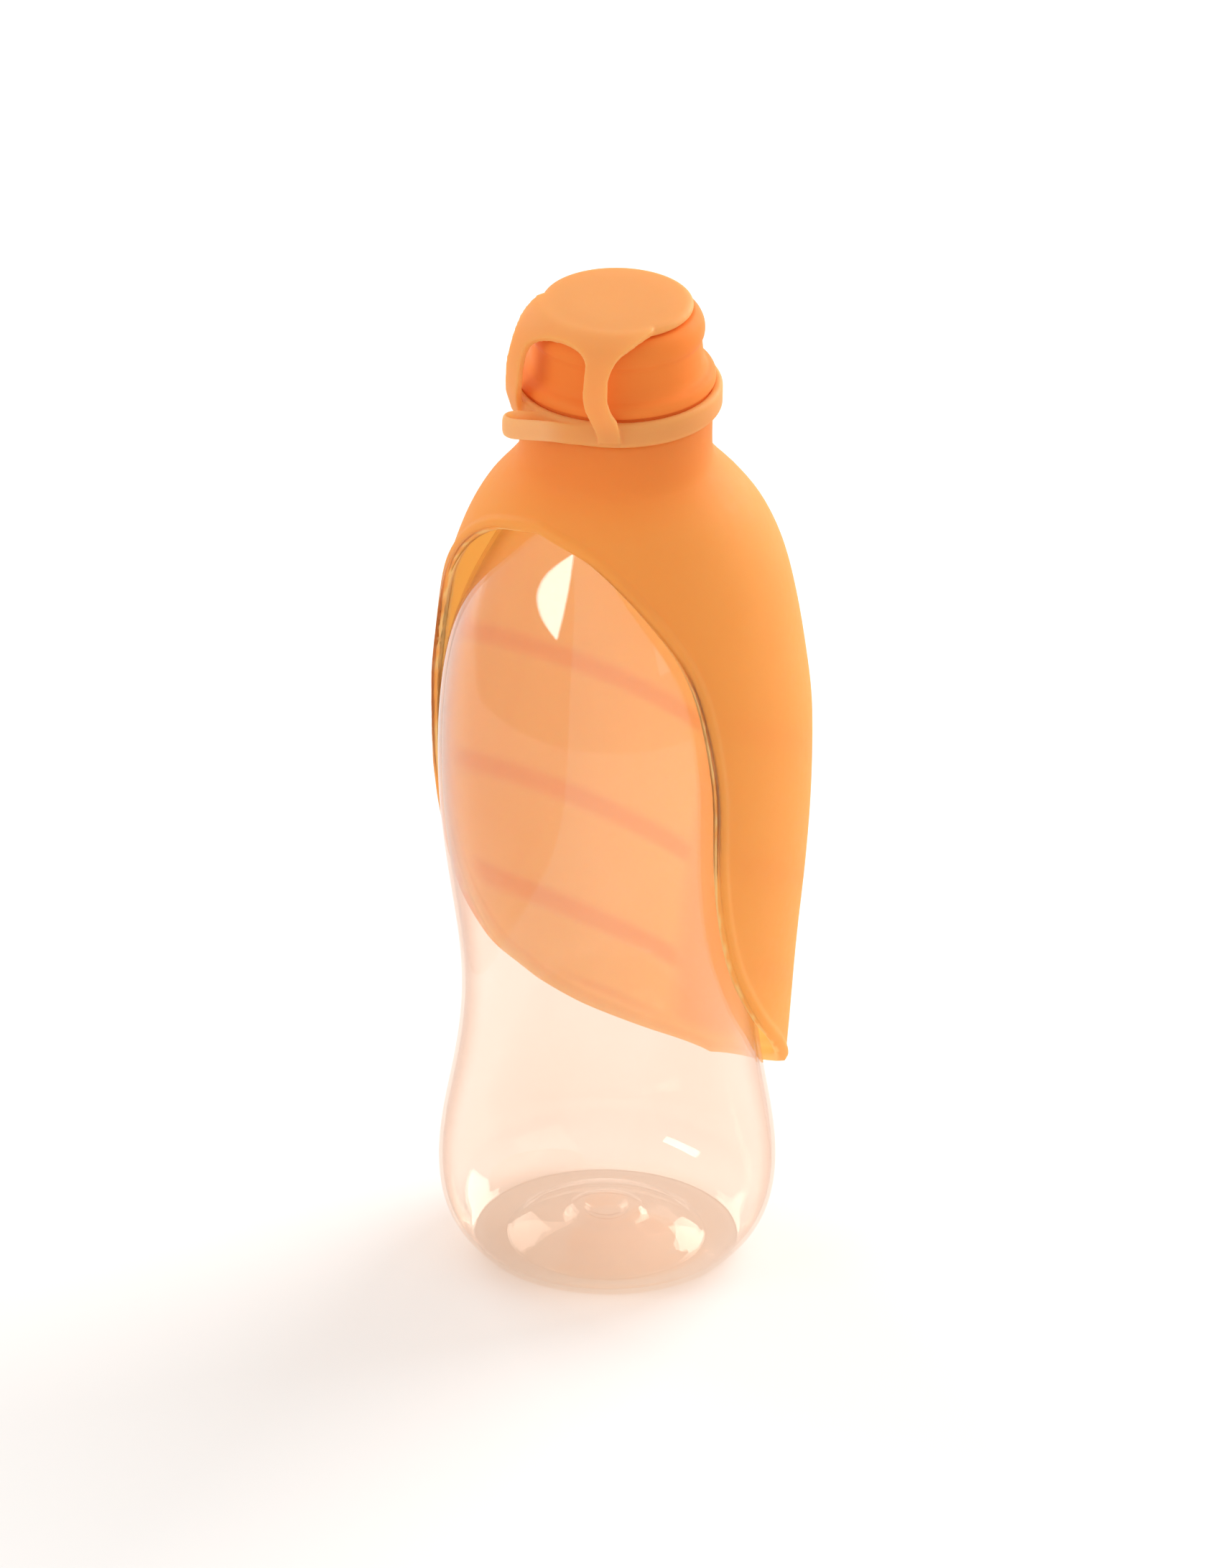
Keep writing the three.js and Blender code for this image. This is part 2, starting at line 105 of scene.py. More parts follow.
DISC_RADIUS = 18.0
DISC_BOTTOM = 247.7
DISC_TOP = 250.3
BOSS_RADIUS = 7.0
BOSS_DEPTH = 1.8
RING_INNER = 23.0
RING_OUTER = 25.1
RING_BOTTOM = 222.9
RING_TOP = 229.1
STRAP_THICKNESS = 1.8
LOOP_THICKNESS = 1.5
# The lid's soft bend runs between these two points, from the ring's side to the disc's side.
LID_FOLD_START = Vector((0, -22.2, 249.9))
LID_FOLD_END = Vector((0, -17.6, 249.9))
LEGS_LOW, LEGS_HIGH = 237.0, 243.0  # the bend fades out from the second height down to the first
# Strap's middle surface as (radius, height) from inside the disc to the foot on the ring.
STRAP_PATH = [
    (16.5, 249.2), (18.8, 249.1), (21.2, 248.3), (23.7, 246.8), (25.7, 244.4), (27, 241.4), (27.6, 238),
    (27.5, 234), (26.6, 230), (25.6, 227), (24.9, 224.6),
]
STRAP_TURN = 2.5  # degrees by which the strap's middle stands off the front
# Outer edge of each leg as (share of the path, degrees from the strap's middle).
LEG_OUTER_EDGE = [
    (0, 65), (0.045, 64), (0.07, 61), (0.1, 56), (0.14, 50), (0.2, 43.5), (0.255, 38), (0.314, 34.5),
    (0.372, 32.5), (0.45, 31), (0.62, 31), (0.72, 33), (0.8, 36), (0.9, 37.5), (1, 38),
]
OPENING_TOP = 0.205  # share of the path at which the opening between the legs starts
OPENING_SHOULDER = 0.37  # share at which it reaches its full width
OPENING_HALF_ANGLE = 19.3
OPENING_FLARE = 7.0  # degrees by which each leg's inner edge draws aside at its foot
FLARE_START = 0.58
WEB_OVERLAP_ANGLE = 1.0
# Hang loop's middle line in plan, from the ring out to the front and back to the ring.
LOOP_PATH = [
    (10.6, -21.8), (6.4, -24.6), (1.7, -26.6), (-3, -29.4), (-6.6, -31.4), (-9.2, -30.6),
    (-8.8, -27.9), (-5.2, -25.4), (-1.4, -23.9),
]
LID_VOXEL = 0.32
LID_SOFTENING = 7  # smoothing passes that round the lid's edges and joints

# Height, half width, depth to the back and depth to the front of the leaf's outer surface.
LEAF_STATIONS = [
    (28, 37, 47.6, 47.6), (51, 38.5, 49.8, 49.8), (75, 40.3, 51, 51), (100, 43.5, 51.3, 51.3),
    (120, 45, 51.5, 51.5), (140, 45.2, 51, 51), (155, 43.8, 49, 46.5), (170, 41.5, 46.2, 41.8),
    (182, 38.7, 43, 38), (192, 35.1, 38.2, 34.8), (200, 30.8, 32, 30.8), (206.5, 25.6, 25.9, 25.6),
    (211, 23, 23, 23), (222.4, 22.9, 22.9, 22.9),
]
# Leaf's edge from the window's top at the front to the tip at the back: (degrees from the front, height).
LEAF_EDGE = [
    (0, 200.5), (28, 196), (50, 183.5), (65, 166), (71, 141), (73, 113), (81, 87), (97, 67.5),
    (115, 54.5), (125, 48), (139.5, 40.3), (159.5, 32.8), (180, 28.6),
]
LEAF_LEAN = 5.5  # degrees by which the leaf's lower part leans to one side
LEAN_FULL_BELOW, LEAN_GONE_ABOVE = 50.0, 110.0
LEAF_TOP = 222.4
LEAF_WALL = 2.2
LEAF_BEAD = 0.6  # by which the bead along the edge stands out of each face
BEAD_WIDTH = 3.6
HOOD_HEIGHT = 203.0  # the skin's rows of points are level from the top down to here
LEAF_HINGE = Vector((0, 42.4, 185))  # a point of the fold line
LEAF_CUT_SLOPE = 1.2  # rise of the fold's plane for each millimetre towards the back
BEND_ABOVE, BEND_BELOW = 8.0, 46.0  # how far the soft bend reaches above and below the fold's plane
VEIN_HEIGHTS = (115.8, 80.2, 52.0, 32.5)  # of each pair of veins where it meets the midrib
VEIN_RISE = 0.43  # per degree round from there
VEIN_START = 13.0  # degrees from the back
VEIN_HALF_WIDTH = 3.2
VEIN_DEPTH = 1.0
VEIN_END = 106.0  # degrees from the back
VEIN_LEVEL_RADIUS = 48.0  # of the leaf where the veins' slant is worked out
MIDRIB_DEPTH = 0.6
MIDRIB_HALF_ANGLE = 12.0
MIDRIB_TOP = 150.0
VEIN_ATTRIBUTE = "vein"  # 1 where the leaf's inner face has a vein or the midrib
INNER_ATTRIBUTE = "inner_face"  # 1 on the leaf's inner face and 0 on its outer one

CAMERA_AZIMUTH = math.radians(38)
CAMERA_ELEVATION = math.radians(27.4)
CAMERA_ROLL = math.radians(0.7)
CAMERA_DISTANCE = 5.128
CAMERA_LENS = 494.5
CAMERA_AIM_HEIGHT = 0.1214
CAMERA_AIM_LEFT = 0.00027


# ---------- geometry helpers ----------


def catmull_rom(points, steps):
    """Points of a smooth curve through the given ones, with that many steps in all."""
    p = np.array(points, float)
    t = np.linspace(0, len(p) - 1, steps + 1)
    i = np.minimum(t.astype(int), len(p) - 2)
    f = (t - i)[:, None]
    a, b = p[np.maximum(i - 1, 0)], p[i]
    c, d = p[i + 1], p[np.minimum(i + 2, len(p) - 1)]
    v0, v1 = (c - a) / 2, (d - b) / 2
    return (2 * b - 2 * c + v0 + v1) * f**3 + (-3 * b + 3 * c - 2 * v0 - v1) * f**2 + v0 * f + b


def even_curve(points, steps):
    """The same curve with its points an equal length apart, and its direction at each."""
    fine = catmull_rom(points, 1200)
    length = np.concatenate([[0], np.cumsum(np.hypot(*np.diff(fine, axis=0).T))])
    at = np.linspace(0, length[-1], steps + 1)
    even = np.stack([np.interp(at, length, fine[:, k]) for k in range(2)], axis=1)
    along = np.gradient(even, axis=0)
    return even, along / np.linalg.norm(along, axis=1, keepdims=True)


def eased(points, passes):
    """The same points with the curvature between them evened out, and both ends held."""
    points = points.copy()
    for _ in range(passes):
        points[1:-1] += (points[:-2] + points[2:] - 2 * points[1:-1]) / 4
    return points


def smoothstep(low, high, x):
    t = np.clip((np.asarray(x, float) - low) / (high - low), 0, 1)
    return t * t * (3 - 2 * t)


def around(angle, radius, height):
    """Points at angles (radians) from the front towards +X, at distances from the axis and at heights."""
    angle, radius, height = np.broadcast_arrays(angle, radius, height)
    return np.stack([radius * np.sin(angle), -radius * np.cos(angle), height], axis=-1)


def new_piece(name, points, faces, attributes=()):
    """A mesh object from points in millimetres about the bottle's axis, closed up and facing out."""
    shifted = (np.array(points, float).reshape(-1, 3) + (0, AXIS_Y, 0)) * MM
    mesh = bpy.data.meshes.new(name)
    mesh.from_pydata(shifted.tolist(), [], faces)
    for attribute, values in attributes:
        mesh.attributes.new(attribute, "FLOAT", "POINT").data.foreach_set("value", values)
    bm = bmesh.new()
    bm.from_mesh(mesh)
    bmesh.ops.remove_doubles(bm, verts=bm.verts, dist=2e-6)
    bmesh.ops.dissolve_degenerate(bm, edges=bm.edges, dist=1e-6)
    bmesh.ops.recalc_face_normals(bm, faces=bm.faces)
    bm.to_mesh(mesh)
    bm.free()
    mesh.polygons.foreach_set("use_smooth", [True] * len(mesh.polygons))
    piece = bpy.data.objects.new(name, mesh)
    bpy.context.scene.collection.objects.link(piece)
    return piece


def grid_faces(rows, columns, wrap_rows, wrap_columns):
    """Quads over a grid of points that are numbered row by row."""
    faces = []
    for i in range(rows if wrap_rows else rows - 1):
        for j in range(columns if wrap_columns else columns - 1):
            a, b = i * columns + j, i * columns + (j + 1) % columns
            c, d = ((i + 1) % rows) * columns + (j + 1) % columns, ((i + 1) % rows) * columns + j
            faces.append((a, b, c, d))
    return faces


def turned_surface(name, outline, angles, radial=None):
    """A surface of revolution from an outline of (radius, height), closed on itself or at the axis.
    radial(angle, radius, height) may move its points in or out."""
    outline = np.array(outline, float)
    closed = outline[0, 0] != 0
    angle, radius = np.meshgrid(angles, outline[:, 0])
    height = np.meshgrid(angles, outline[:, 1])[1]
    if radial is not None:
        radius = radial(angle, radius, height)
    faces = grid_faces(len(outline), len(angles), closed, True)
    return new_piece(name, around(angle, radius, height), faces)


def even_angles(count):
    return np.arange(count) * TAU / count


def box_shell(name, nu, nv, point):
    """A closed shell between two faces. point(u, v, side) gives its points: side 1 is outside, 0 inside."""
    u, v = np.meshgrid(np.linspace(0, 1, nu + 1), np.linspace(0, 1, nv + 1), indexing="ij")
    outer, inner = point(u, v, 1), point(u, v, 0)
    points = np.concatenate([outer.reshape(-1, 3), inner.reshape(-1, 3)])
    count = (nu + 1) * (nv + 1)
    faces = []
    for i in range(nu):
        for j in range(nv):
            a, b = i * (nv + 1) + j, (i + 1) * (nv + 1) + j
            faces.append((a, b, b + 1, a + 1))
            faces.append((count + a, count + a + 1, count + b + 1, count + b))
    rim = [i * (nv + 1) for i in range(nu)] + [nu * (nv + 1) + j for j in range(nv)]
    rim += [i * (nv + 1) + nv for i in range(nu, 0, -1)] + list(range(nv, 0, -1))
    for a, b in zip(rim, rim[1:] + rim[:1]):
        faces.append((a, b, count + b, count + a))
    return new_piece(name, points, faces)


def merged(name, pieces):
    """One object from several."""
    bm = bmesh.new()
    for piece in pieces:
        bm.from_mesh(piece.data)
        bpy.data.objects.remove(piece)
    mesh = bpy.data.meshes.new(name)
    bm.to_mesh(mesh)
    bm.free()
    whole = bpy.data.objects.new(name, mesh)
    bpy.context.scene.collection.objects.link(whole)
    return whole


def with_modifiers_applied(piece):
    """Turns the piece's modifiers into its final mesh."""
    evaluated = piece.evaluated_get(bpy.context.evaluated_depsgraph_get())
    piece.data = bpy.data.meshes.new_from_object(evaluated)
    piece.modifiers.clear()
    piece.data.polygons.foreach_set("use_smooth", [True] * len(piece.data.polygons))
    return piece


def thread_relief(angle, height, start, depth):
    """How far a helical ridge stands out of its wall at each angle and height."""
    relief = np.zeros_like(height)
    for turn in range(math.ceil(THREAD_TURNS) + 1):
        turns = angle / TAU + turn
        centre = start + turns * THREAD_PITCH
        share = turns / THREAD_TURNS
        fullness = np.clip(np.minimum(share, 1 - share) / THREAD_RUN_OUT, 0, 1)
        ridge = 1 - smoothstep(0.3, THREAD_HALF_WIDTH, np.abs(height - centre))
        relief = np.maximum(relief, ridge * fullness * depth)
    return relief


# ---------- bottle ----------


def bottle_angles():
    """Even angles, with extra ones at the two parting lines so that they stand out crisply."""
    angles = list(even_angles(180))
    for side in (0, math.pi):
        seam = (math.radians(SEAM_ANGLE) + side) % TAU
        spread = [-2, -1, -0.35, 0, 0.35, 1, 2]
        angles = [a for a in angles if abs(a - seam) > 0.03]
        angles += [seam + s * SEAM_HALF_WIDTH / BOTTLE_OUTLINE[4][0] for s in spread]
    return np.array(sorted(angles))


def bottle_radial(angle, radius, height):
    """Thread on the neck and a fine parting line down both sides of the outer wall."""
    on_neck = (height > BARREL_TOP + 2) & (radius > FINISH_RADIUS - 0.5)
    threaded = radius + np.where(on_neck, thread_relief(angle, height, THREAD_START, NECK_THREAD_DEPTH), 0)
    outer_radius = np.interp(height, [z for _, z in BOTTLE_OUTLINE], [r for r, _ in BOTTLE_OUTLINE])
    outside = (radius > outer_radius - 0.4) & (height < BARREL_TOP) & (height > 3)
    away = np.abs((angle - math.radians(SEAM_ANGLE) + math.pi / 2) % math.pi - math.pi / 2) * radius
    ridge = SEAM_HEIGHT * (1 - smoothstep(0, SEAM_HALF_WIDTH, away))
    return threaded + np.where(outside, ridge, 0)


def push_up_outline():
    """The base from below: out from the knob in its middle to the resting ring."""
    top, knob, inner = BASE_PUSH_UP, BASE_KNOB_RADIUS, BASE_INNER_RADIUS
    return [
        (0, top - 1.2), (1.6, top - 1.15), (3.6, top - 1), (4.4, top - 0.7), (4.9, top - 0.15),
        (5.6, top + 0.05), (knob - 1.5, top), (knob - 0.5, top - 0.15), (knob, top - 0.6),
        (knob + 0.6, top - 1.25), (knob + 1.8, top - 1.6), (14.5, top - 2.4), (18.5, top - 3.9),
        (21.5, 1.3), (inner - 0.9, 0.75), (inner - 0.25, 0.6), (inner, 0.35), (inner + 0.1, 0.08),
        (inner + 0.5, 0), (27.5, 0), (30.5, 0),
    ]


def floor_outline():
    """The base from above: in from the wall to the middle."""
    knob, inner = BASE_KNOB_RADIUS, BASE_INNER_RADIUS
    return [
        (29.8, 1.25), (26.5, 1.05), (inner + 0.9, 1.05), (inner + 0.1, 1.35), (inner - 0.8, 1.75),
        (21, 2.35), (18.2, 4.8), (14.3, 5.2), (knob + 1.4, 6), (knob + 0.2, 6.4), (knob - 0.7, 7.1),
        (knob - 1.8, 7.5), (6, 7.55), (4.8, 7.3), (3.9, 6.6), (2, 6.35), (0, 6.3),
    ]


def neck_outline():
    """Up the barrel and the threaded neck's outside, over the mouth and down its bore."""
    barrel, finish, bore = BARREL_RADIUS, FINISH_RADIUS, FINISH_RADIUS - FINISH_WALL
    outside = [(barrel, z) for z in (210, 214, BARREL_TOP - 1)]
    outside += [(barrel - 0.2, BARREL_TOP - 0.3), (barrel - 0.9, BARREL_TOP)]
    outside += [(finish + 0.8, BARREL_TOP + 0.9), (finish + 0.15, BARREL_TOP + 1.5)]
    outside += [(finish, z) for z in np.arange(BARREL_TOP + 2.2, MOUTH_TOP - 0.8, 0.3)]
    mouth = [(finish - 0.1, MOUTH_TOP - 0.3), (finish - 0.4, MOUTH_TOP), (bore + 0.3, MOUTH_TOP)]
    inside = [(bore, z) for z in (MOUTH_TOP - 0.3, 236, 228, BARREL_TOP + 1)]
    inside += [(bore + 0.5, BARREL_TOP - 0.3), (barrel - 1.5, BARREL_TOP - 1.6), (barrel - 0.9, 214)]
    return [*outside, *mouth, *inside]


def bottle_shell():
    """The whole bottle, with both faces of its wall."""
    wall = eased(even_curve(BOTTLE_OUTLINE, 150)[0], WALL_EASING)
    tangent = np.gradient(wall, axis=0)
    normal = np.stack([tangent[:, 1], -tangent[:, 0]], axis=1)
    normal /= np.linalg.norm(normal, axis=1, keepdims=True)
    inner_wall = wall - normal * BOTTLE_WALL
    inner_wall = inner_wall[inner_wall[:, 1] > BOTTLE_WALL + 0.3]
    walls_in = inner_wall[::-1].tolist()
    outline = [*push_up_outline(), *wall.tolist(), *neck_outline(), *walls_in, *floor_outline()]
    return turned_surface("bottle_shell", outline, bottle_angles(), bottle_radial)


# ---------- cap and gasket ----------


def cap_radial(angle, radius, height):
    """Thread in the cap's bore, half a pitch above the neck's."""
    on_bore = (np.abs(radius - CAP_BORE) < 0.1) & (height < CAP_TOP - CAP_DECK - 0.5)
    thread = thread_relief(angle, height, THREAD_START + THREAD_PITCH / 2, CAP_THREAD_DEPTH)
    return radius - np.where(on_bore, thread, 0)


def cap_outside():
    """The skirt, the bulge over the ring, and the stepped spout, from the bottom up."""
    skirt, spout, ring, top = SKIRT_RADIUS, SPOUT_RADIUS, RING_TOP, CAP_TOP
    return [
        (skirt, CAP_BOTTOM + 0.5), (skirt, ring - 2), (skirt, ring + 0.1), (skirt + 0.35, ring + 0.4),
        (skirt + 0.75, ring + 0.7), (skirt + 0.9, ring + 1.3), (skirt + 0.85, ring + 2.1),
        (skirt + 0.5, ring + 2.9), (skirt - 0.1, ring + 3.5), (spout + 1.45, ring + 4.1),
        (spout + 0.85, ring + 4.9), (spout + 0.4, ring + 6.1), (spout + 0.1, ring + 8.4),
        (spout - 0.1, top - 7.4), (spout + 0.05, top - 6.6), (spout + 0.4, top - 5.7),
        (spout + 0.55, top - 4.6), (spout + 0.45, top - 3.4), (spout + 0.1, top - 2.3),
        (spout - 0.6, top - 1.1), (spout - 1.7, top - 0.2), (spout - 2.3, top),
    ]


def cap_shell():
    """The screw cap with its outlet, deck and threaded bore."""
    outlet, deck = OUTLET_RADIUS, CAP_TOP - CAP_DECK
    outlet_wall = [
        (outlet + 0.7, CAP_TOP), (outlet + 0.2, CAP_TOP - 0.2), (outlet, CAP_TOP - 0.7), (outlet, deck + 0.2),
        (outlet + 0.3, deck), (CAP_BORE - 1, deck), (CAP_BORE - 0.3, deck - 0.1),
    ]
    bore = [(CAP_BORE, z) for z in np.arange(deck - 0.6, CAP_BOTTOM + 1.2, -0.3)]
    lip = [(CAP_BORE + 0.4, CAP_BOTTOM + 0.5), (CAP_BORE + 1, CAP_BOTTOM), (SKIRT_RADIUS - 0.5, CAP_BOTTOM)]
    outside = catmull_rom(cap_outside(), 90).tolist()
    outline = [*outside, *outlet_wall, *bore, *lip, (SKIRT_RADIUS - 0.1, CAP_BOTTOM + 0.15)]
    return turned_surface("cap_shell", outline, even_angles(160), cap_radial)


def seal_ring():
    """The gasket, with rounded edges."""
    corners = [
        (GASKET_INNER, GASKET_BOTTOM, 1, 1), (GASKET_OUTER, GASKET_BOTTOM, -1, 1),
        (GASKET_OUTER, GASKET_TOP, -1, -1), (GASKET_INNER, GASKET_TOP, 1, -1),
    ]
    outline = []
    for (r, z, inward, upward), first in zip(corners, (180, 270, 0, 90)):
        for step in range(5):
            a = math.radians(first + step * 22.5)
            centre = (r + inward * GASKET_ROUND, z + upward * GASKET_ROUND)
            outline.append((centre[0] + GASKET_ROUND * math.cos(a), centre[1] + GASKET_ROUND * math.sin(a)))
    return turned_surface("seal_ring", outline, even_angles(96))


# ---------- soft lid ----------


def strap_leg(side_of_front):
    """One leg of the strap with its half of the web: 1 for the right one and -1 for the left."""
    path, along = even_curve(STRAP_PATH, 64)
    shares = np.linspace(0, 1, len(path))
    rise = np.clip((shares - OPENING_TOP) / (OPENING_SHOULDER - OPENING_TOP), 0, 1)
    flare = OPENING_FLARE * smoothstep(FLARE_START, 1, shares)
    arch = OPENING_HALF_ANGLE * np.sqrt(1 - (1 - rise) ** 2) + flare
    inner_edge = np.where(rise <= 0, -WEB_OVERLAP_ANGLE, arch)
    outer_edge = np.interp(shares, *np.array(LEG_OUTER_EDGE, float).T)

    def point(u, v, side):
        row = np.round(v * (len(path) - 1)).astype(int)
        offset = (side - 0.5) * STRAP_THICKNESS
        degrees = inner_edge[row] + (outer_edge[row] - inner_edge[row]) * u
        radius = path[row, 0] - along[row, 1] * offset
        angle = np.radians(STRAP_TURN + side_of_front * degrees)
        return around(angle, radius, path[row, 1] + along[row, 0] * offset)

    return box_shell("leg", 12, len(path) - 1, point)


def hang_loop():
    """The loop's band, slightly crowned across its height."""
    path, along = even_curve(LOOP_PATH, 60)
    half = LOOP_THICKNESS / 2

    def point(u, v, side):
        row = np.round(u * (len(path) - 1)).astype(int)
        crown = np.sqrt(np.clip(1 - (2 * v - 1) ** 4, 0.2, 1))
        offset = (2 * side - 1) * half * crown
        height = RING_BOTTOM + 0.3 + (RING_TOP - RING_BOTTOM - 0.9) * v
        x = path[row, 0] - along[row, 1] * offset
        y = path[row, 1] + along[row, 0] * offset
        return np.stack([x, y, height], axis=-1)

    return box_shell("loop", len(path) - 1, 8, point)


def disc_outline():
    boss, boss_end = BOSS_RADIUS, DISC_BOTTOM - BOSS_DEPTH
    return [
        (0, boss_end), (boss - 0.6, boss_end), (boss, boss_end + 0.6), (boss, DISC_BOTTOM),
        (DISC_RADIUS - 0.7, DISC_BOTTOM), (DISC_RADIUS, DISC_BOTTOM + 0.7), (DISC_RADIUS, DISC_TOP - 1.2),
        (DISC_RADIUS - 0.5, DISC_TOP - 0.6), (DISC_RADIUS - 1.6, DISC_TOP - 0.2),
        (DISC_RADIUS - 6, DISC_TOP), (0, DISC_TOP),
    ]


def ring_outline():
    return [
        (RING_INNER, RING_BOTTOM), (RING_OUTER - 0.6, RING_BOTTOM), (RING_OUTER, RING_BOTTOM + 0.8),
        (RING_OUTER, RING_TOP - 0.8), (RING_OUTER - 0.6, RING_TOP), (RING_INNER, RING_TOP),
    ]


def lid_skin():
    """The whole lid, fused into one skin with its edges and joints rounded."""
    solids = [
        turned_surface("disc", disc_outline(), even_angles(144)),
        turned_surface("ring", ring_outline(), even_angles(144)),
        strap_leg(1),
        strap_leg(-1),
        hang_loop(),
    ]
    skin = merged("lid_skin", solids)
    remesh = skin.modifiers.new("fuse", "REMESH")
    remesh.mode = "VOXEL"
    remesh.voxel_size = LID_VOXEL * MM
    remesh.use_smooth_shade = True
    smooth = skin.modifiers.new("soften", "SMOOTH")
    smooth.factor = 0.5
    smooth.iterations = LID_SOFTENING
    return with_modifiers_applied(skin)


# ---------- leaf bowl ----------

SECTION_HEIGHTS = np.linspace(LEAF_STATIONS[0][0], LEAF_TOP, 800)
STATION_CURVE = catmull_rom(LEAF_STATIONS, 3000)
LEAF_SECTIONS = [np.interp(SECTION_HEIGHTS, STATION_CURVE[:, 0], STATION_CURVE[:, k]) for k in (1, 2, 3)]


def leaf_surface(angle, height):
    """Points of the leaf's outer surface: half an ellipse to the back and half to the front at each level."""
    half_width, back, front = (np.interp(height, SECTION_HEIGHTS, s) for s in LEAF_SECTIONS)
    depth = np.where(np.cos(angle) < 0, back, front)
    radius = 1 / np.hypot(np.sin(angle) / half_width, np.cos(angle) / depth)
    return around(angle, radius, height)


def leaf_outward(angle, height):
    step = 0.02
    sideways = leaf_surface(angle + step, height) - leaf_surface(angle - step, height)
    up = leaf_surface(angle, np.minimum(height + 0.5, LEAF_TOP)) - leaf_surface(angle, height - 0.5)
    normal = np.cross(sideways, up)
    return normal / np.linalg.norm(normal, axis=-1, keepdims=True)


def leaf_lean(height):
    """The turn to one side, in radians, at a height of the leaf."""
    return math.radians(LEAF_LEAN) * (1 - smoothstep(LEAN_FULL_BELOW, LEAN_GONE_ABOVE, height))


def leaf_veins(angle, height, from_edge):
    """How far the veins and the midrib stand out of the inner face."""
    upright = angle - leaf_lean(height)
    from_back = np.degrees(np.abs(upright % TAU - math.pi))
    relief = np.zeros_like(height)
    rise = VEIN_RISE * (from_back - VEIN_START)
    slant = math.hypot(1, math.degrees(VEIN_RISE) / VEIN_LEVEL_RADIUS)
    past_midrib = smoothstep(VEIN_START - 3, VEIN_START, from_back)
    inside_leaf = past_midrib * (1 - smoothstep(VEIN_END - 8, VEIN_END, from_back))
    for start in VEIN_HEIGHTS:
        away = np.abs(height - start - rise) / slant
        ridge = 1 - smoothstep(0.9, VEIN_HALF_WIDTH, away)
        relief = np.maximum(relief, ridge * inside_leaf * VEIN_DEPTH)
    across = 1 - smoothstep(MIDRIB_HALF_ANGLE - 4, MIDRIB_HALF_ANGLE, from_back * 0.85)
    midrib = MIDRIB_DEPTH * across * (1 - smoothstep(MIDRIB_TOP - 30, MIDRIB_TOP, height))
    clear_of_edge = smoothstep(3, 7, from_edge)
    return np.maximum(relief, midrib) * clear_of_edge


def leaf_grid(columns, hood_rows, fan_rows):
    """Angles and heights of the leaf's points, one row of the grid for each column of the sleeve.
    The upper ones are level, as far as the hood, and the lower ones fan out to the leaf's edge."""
    edge, _ = even_curve(LEAF_EDGE, columns // 2)
    around_share = 1 - np.abs(2 * np.arange(columns) / columns - 1)
    handedness = np.where(np.arange(columns) <= columns / 2, 1, -1)[:, None]
    edge_at = edge[np.round(around_share * (columns // 2)).astype(int)]
    degrees = 180 * around_share
    hood = np.linspace(0, 1, hood_rows, endpoint=False)
    fan = 1 - (1 - np.linspace(0, 1, fan_rows + 1)) ** 1.5
    hood_heights = LEAF_TOP + (HOOD_HEIGHT - LEAF_TOP) * (hood**1.3)
    fan_heights = HOOD_HEIGHT + (edge_at[:, 1:] - HOOD_HEIGHT) * fan
    height = np.concatenate([np.tile(hood_heights, (columns, 1)), fan_heights], axis=1)
    upright = np.tile(degrees[:, None], (1, hood_rows))
    fanned = degrees[:, None] + (edge_at[:, :1] - degrees[:, None]) * fan
    turn = np.concatenate([upright, fanned], axis=1)
    return np.radians(turn) * handedness + leaf_lean(height), height


def distance_from_edge(points):
    """How far each point of the leaf's surface is from the leaf's edge."""
    rim, _ = even_curve(LEAF_EDGE, 260)
    rim_heights = np.concatenate([rim[:, 1], rim[::-1, 1]])
    rim_angles = np.radians(np.concatenate([rim[:, 0], -rim[::-1, 0]])) + leaf_lean(rim_heights)
    rim_points = leaf_surface(rim_angles, rim_heights)
    away = [np.sqrt(((column[:, None] - rim_points[None]) ** 2).sum(2).min(1)) for column in points]
    distance = np.stack(away)
    distance[:, -1] = 0
    return distance


def rounded_off(distance, radius):
    """The share of its full thickness that a wall with a round end keeps at a distance from that end."""
    return np.sqrt(np.clip(1 - (1 - np.clip(distance / radius, 0, 1)) ** 2, 0, 1))


def leaf_skin():
    """Collar, hood and bowl in one sleeve, with a bead along the edge and raised veins inside."""
    angle, height = leaf_grid(columns=176, hood_rows=22, fan_rows=120)
    outer = leaf_surface(angle, height)
    normal = leaf_outward(angle, height)
    from_edge = distance_from_edge(outer)
    half = LEAF_WALL / 2
    beaded = half + LEAF_BEAD
    round_end = rounded_off(from_edge, beaded)
    thickness = beaded + (half - beaded) * smoothstep(beaded, BEAD_WIDTH, from_edge)
    thickness = thickness * round_end * rounded_off(LEAF_TOP - height, half)
    middle = outer - normal * half
    inner_extra = leaf_veins(angle, height, from_edge)
    outside = middle + normal * thickness[..., None]
    inside = middle - normal * (thickness + inner_extra * round_end)[..., None]
    columns, rows = height.shape
    loop = np.concatenate([outside, inside[:, ::-1]], axis=1)
    faces = grid_faces(columns, 2 * rows, True, True)
    vein = np.concatenate([np.zeros_like(height), inner_extra[:, ::-1] / VEIN_DEPTH], axis=1)
    inner_face = np.concatenate([np.zeros_like(height), np.ones_like(height)], axis=1)
    attributes = [(VEIN_ATTRIBUTE, vein.ravel()), (INNER_ATTRIBUTE, inner_face.ravel())]
    return new_piece("leaf_skin", loop.reshape(-1, 3), faces, attributes)


# ---------- materials ----------

BOTTLE_MILKINESS = 0.03
BOTTLE_GLOSS_FACING = 0.045  # share that the clear wall mirrors where it faces the viewer
BOTTLE_GLOSS_EDGE_ON = 0.9
NECK_SHADE_FROM, NECK_SHADE_TO = 198.0, 216.0  # heights between which the leaf turns to painted shade at its neck, under the cap and with the barrel behind
